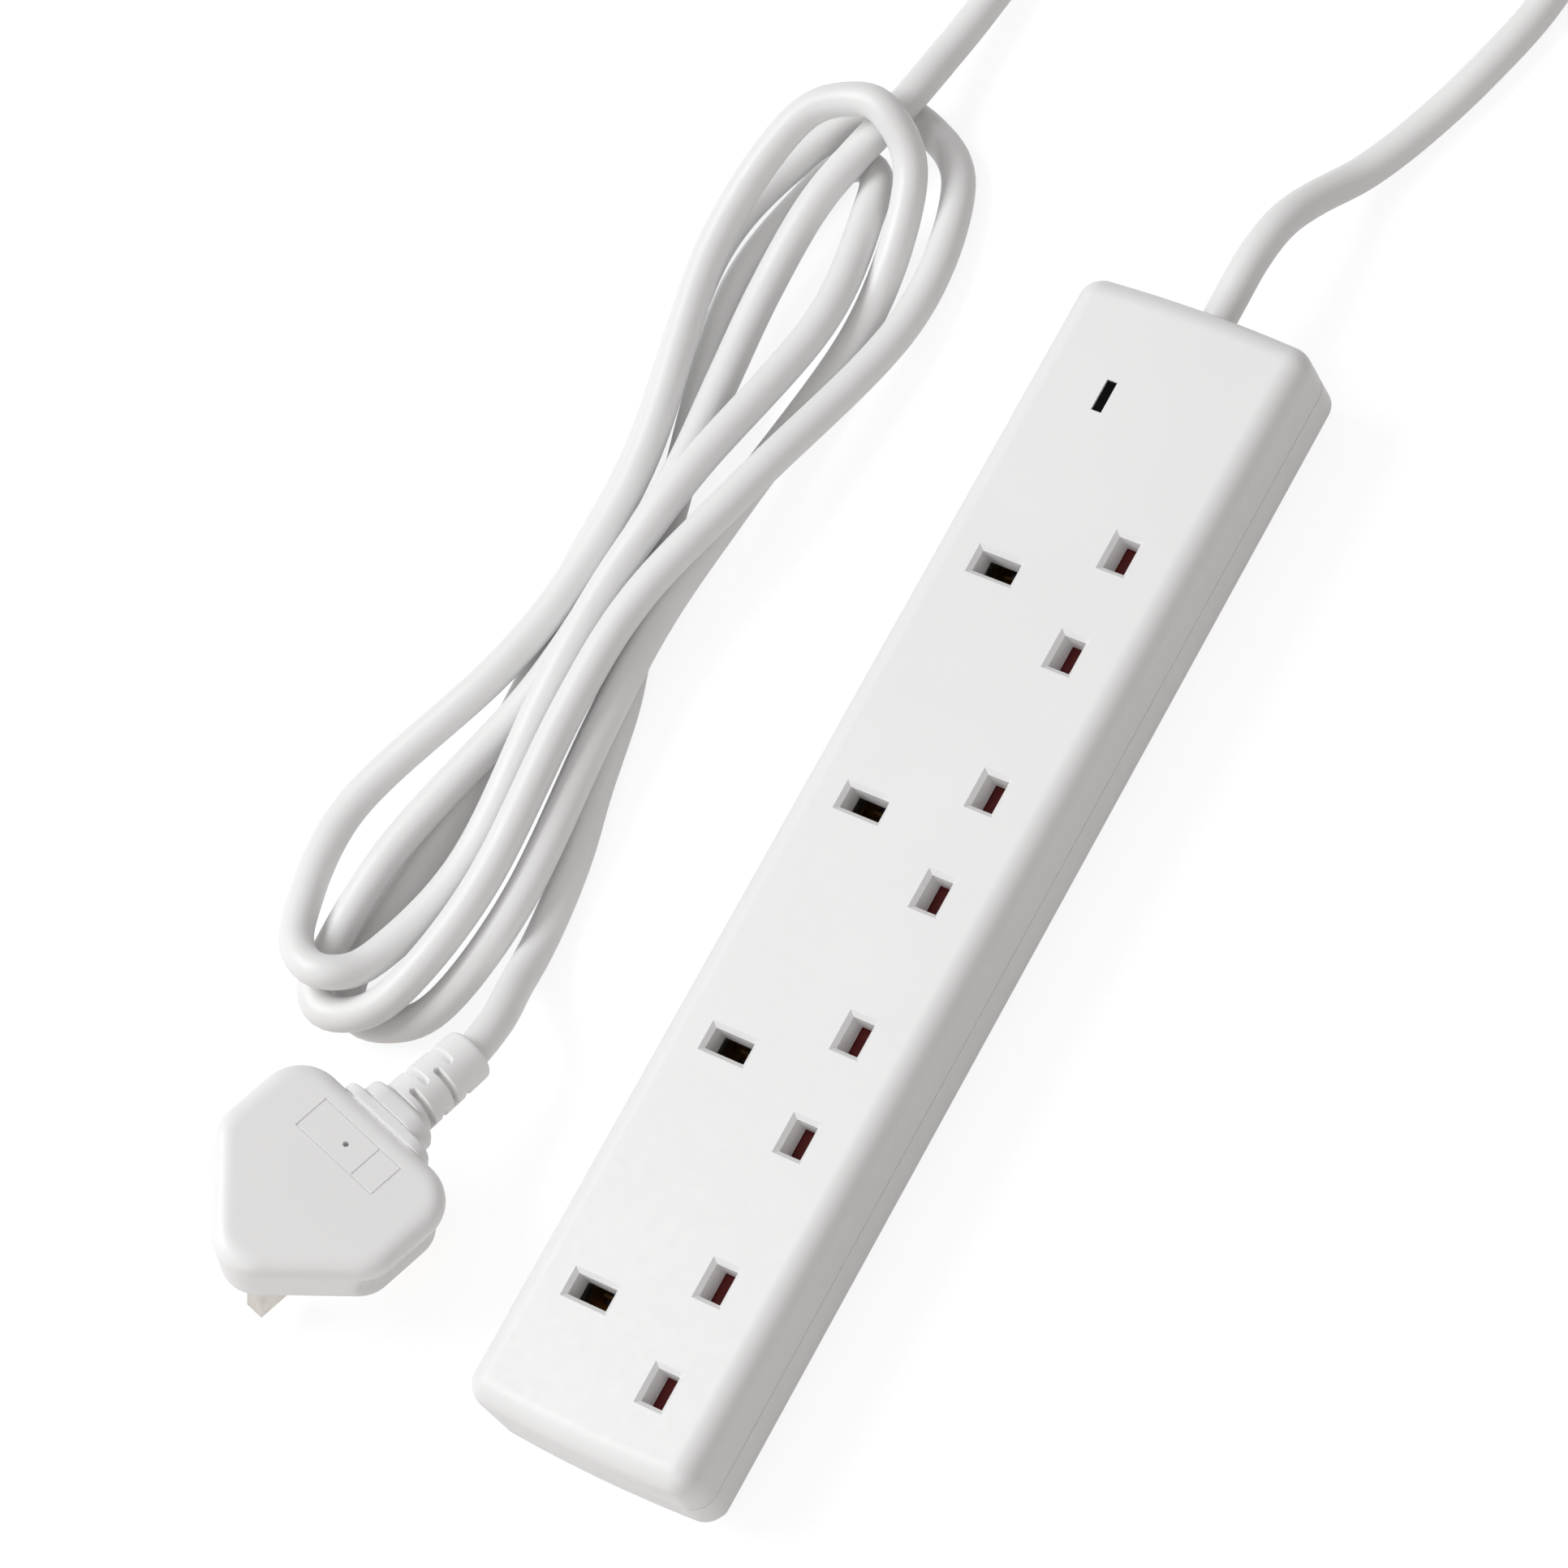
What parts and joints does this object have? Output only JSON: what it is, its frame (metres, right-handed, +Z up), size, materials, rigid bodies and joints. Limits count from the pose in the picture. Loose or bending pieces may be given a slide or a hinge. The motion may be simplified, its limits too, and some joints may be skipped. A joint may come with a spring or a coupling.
{
  "type": "extension cord",
  "caption": "White trailing socket strip with shuttered outlets, its flex in a loose hank and a moulded three-pin plug.",
  "frame": {"origin": "middle of the strip at the floor", "axes": "+X along the strip towards its cord end, +Y towards the earth apertures, +Z up out of the outlets"},
  "size_m": [0.4215, 0.1487, 0.0445],
  "materials": {
    "shell": "satin",
    "flex": "satin",
    "shutter": "matte",
    "brass": "satin",
    "nickel": "brushed",
    "steel": "satin",
    "window": "gloss",
    "lamp": "gloss",
    "ceramic": "matte",
    "sleeve": "satin",
    "core_brown": "satin",
    "core_blue": "satin",
    "core_earth": "satin"
  },
  "bodies": {
    "strip": {"top_cover": "shell", "outlet_face_1": "shell", "outlet_face_2": "shell", "outlet_face_3": "shell", "outlet_face_4": "shell", "base_cover": "shell", "shutter_spring_1": "steel", "shutter_spring_2": "steel", "shutter_spring_3": "steel", "shutter_spring_4": "steel", "line_busbar": "brass", "neutral_busbar": "brass", "earth_busbar": "brass", "window_lens": "window", "neon_lamp": "lamp", "neon_resistor": "ceramic", "neon_leads": "steel", "cord_clamp": "shell", "clamp_screws": "steel", "case_screws": "steel", "core_line": "core_brown", "core_neutral": "core_blue", "core_earth": "core_earth", "cord_sheath_end": "flex", "cord_lead": "flex", "cord_hank": "flex", "plug_body": "shell", "plug_bridge": "shell", "earth_pin": "nickel", "line_pin": "brass", "neutral_pin": "brass", "pin_sleeves": "sleeve", "fuse_clips": "brass", "plug_strain_relief": "shell", "plug_sheath_end": "flex", "plug_cores": "core_earth"},
    "shutter_1": {"shutter_1": "shutter"},
    "shutter_2": {"shutter_2": "shutter"},
    "shutter_3": {"shutter_3": "shutter"},
    "shutter_4": {"shutter_4": "shutter"},
    "fuse_holder": {"fuse_carrier": "shutter", "fuse_barrel": "ceramic", "fuse_caps": "steel"}
  },
  "joints": [
    {"name": "shutter_1_slide", "type": "slide", "parent": "strip", "child": "shutter_1", "axis": [0, -1, 0], "range_m": [0, 0.0054], "stiffness_N_per_m": 60},
    {"name": "shutter_2_slide", "type": "slide", "parent": "strip", "child": "shutter_2", "axis": [0, -1, 0], "range_m": [0, 0.0054], "stiffness_N_per_m": 60},
    {"name": "shutter_3_slide", "type": "slide", "parent": "strip", "child": "shutter_3", "axis": [0, -1, 0], "range_m": [0, 0.0054], "stiffness_N_per_m": 60},
    {"name": "shutter_4_slide", "type": "slide", "parent": "strip", "child": "shutter_4", "axis": [0, -1, 0], "range_m": [0, 0.0054], "stiffness_N_per_m": 60},
    {"name": "fuse_slide", "type": "slide", "parent": "strip", "child": "fuse_holder", "axis": [-0.2436, 0.311, -0.9186], "range_m": [0, 0.012]}
  ]
}
